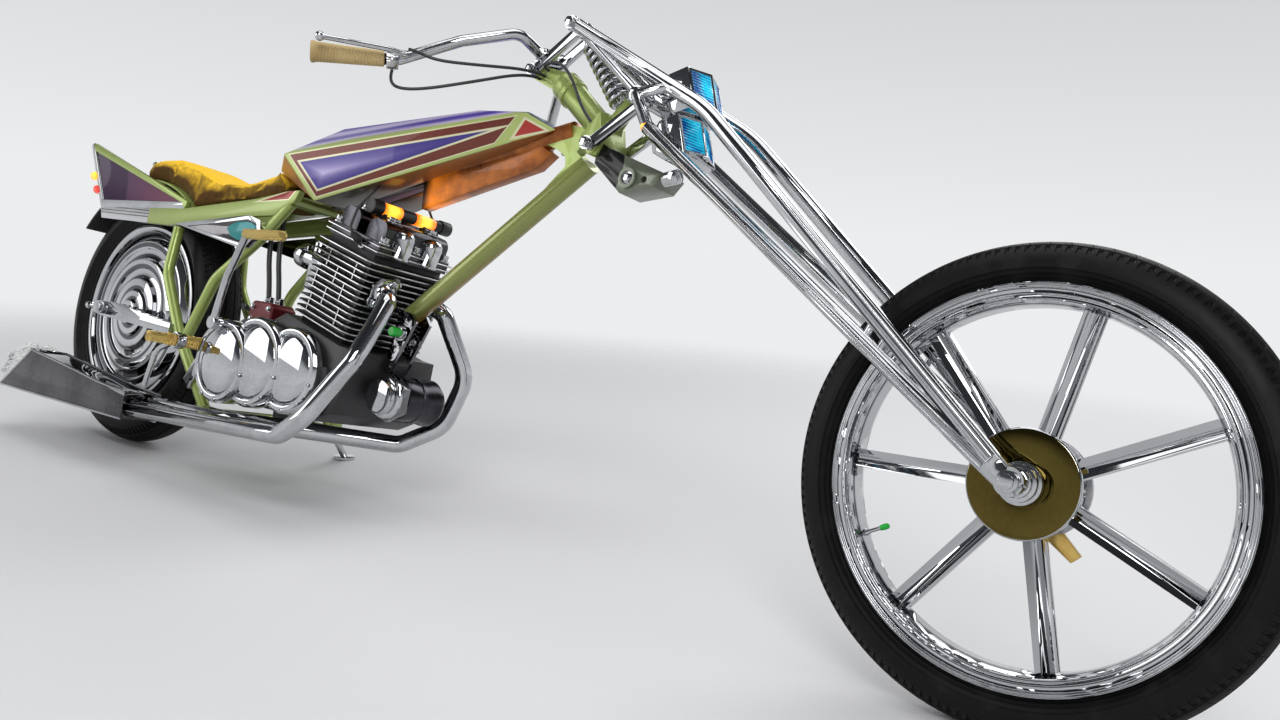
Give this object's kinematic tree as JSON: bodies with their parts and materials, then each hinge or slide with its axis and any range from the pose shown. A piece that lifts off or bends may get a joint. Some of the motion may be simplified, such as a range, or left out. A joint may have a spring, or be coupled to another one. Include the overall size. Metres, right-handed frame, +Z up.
{
  "type": "chopper motorcycle",
  "caption": "Long low chopper motorcycle with a raked girder fork, coffin tank, humped seat, winged tail and twin-cylinder engine, leaning on its side stand.",
  "frame": {"origin": "on the floor under the middle of the machine's bounding box", "axes": "+X forward, +Y to the rider's left, +Z up; the machine leans to its left on the side stand"},
  "size_m": [2.9229, 0.7449, 1.0441],
  "materials": {
    "rubber_black": "satin",
    "chrome": "polished",
    "bronze_mirror": "polished",
    "steel": "satin",
    "lime_paint": "gloss",
    "tank_paint": "gloss",
    "violet_paint": "gloss",
    "gold_velvet": "matte",
    "gold_metal": "polished",
    "black_metal": "satin",
    "dark_red": "satin",
    "lamp_red": "gloss",
    "amber": "gloss",
    "blue_lens": "gloss",
    "white_wool": "matte",
    "ivory_wrap": "satin"
  },
  "bodies": {
    "frame": {"chain": "steel", "head_tube": "lime_paint", "backbone": "lime_paint", "downtube": "lime_paint", "seat_rails": "chrome", "rear_frame": "lime_paint", "lower_rails": "lime_paint", "chain_stays": "chrome", "rear_axle": "steel", "tank": "tank_paint", "seat": "gold_velvet", "tail_base": "lime_paint", "tail_fins": "violet_paint", "side_wedges": "chrome", "tail_lamps": "lamp_red", "crankcase": "black_metal", "cylinder_block": "black_metal", "cylinder_head": "chrome", "engine_covers": "chrome", "carburettors": "dark_red", "light_tube": "amber", "oil_filter": "chrome", "exhaust_headers": "chrome", "exhaust_tail": "chrome", "wadding": "white_wool", "kick_starter": "chrome", "foot_controls": "gold_metal"},
    "fork": {"girder": "chrome", "front_axle": "chrome", "front_brake_plate": "gold_metal", "steering_stem": "lime_paint", "girder_links": "chrome", "handlebar": "chrome", "grips": "ivory_wrap", "headlamp_cases": "chrome", "headlamp_lenses": "blue_lens", "fork_spring": "chrome", "neck_box": "lime_paint", "fork_cables": "rubber_black"},
    "front_wheel": {"front_tyre": "rubber_black", "front_wheel": "chrome", "front_hub_disc": "bronze_mirror"},
    "rear_wheel": {"rear_tyre": "rubber_black", "rear_wheel": "chrome", "rear_sprocket": "steel"},
    "side_stand": {"side_stand": "chrome"}
  },
  "joints": [
    {"name": "steering", "type": "hinge", "parent": "frame", "child": "fork", "pos_m": [0.1915, 0.00368, 0.86851], "axis": [-0.788, 0.1069, 0.6063], "range_deg": [-30, 30]},
    {"name": "front_wheel_spin", "type": "hinge", "parent": "fork", "child": "front_wheel", "pos_m": [1.1165, -0.08943, 0.34043], "axis": [0, 0.9848, -0.1736], "continuous": true},
    {"name": "rear_wheel_spin", "type": "hinge", "parent": "frame", "child": "rear_wheel", "pos_m": [-1.1335, -0.09234, 0.32391], "axis": [0, 0.9848, -0.1736], "continuous": true},
    {"name": "side_stand_fold", "type": "hinge", "parent": "frame", "child": "side_stand", "pos_m": [-0.5335, 0.01445, 0.12332], "axis": [-0.4338, 0.2804, 0.8562], "range_deg": [0, 52]}
  ]
}
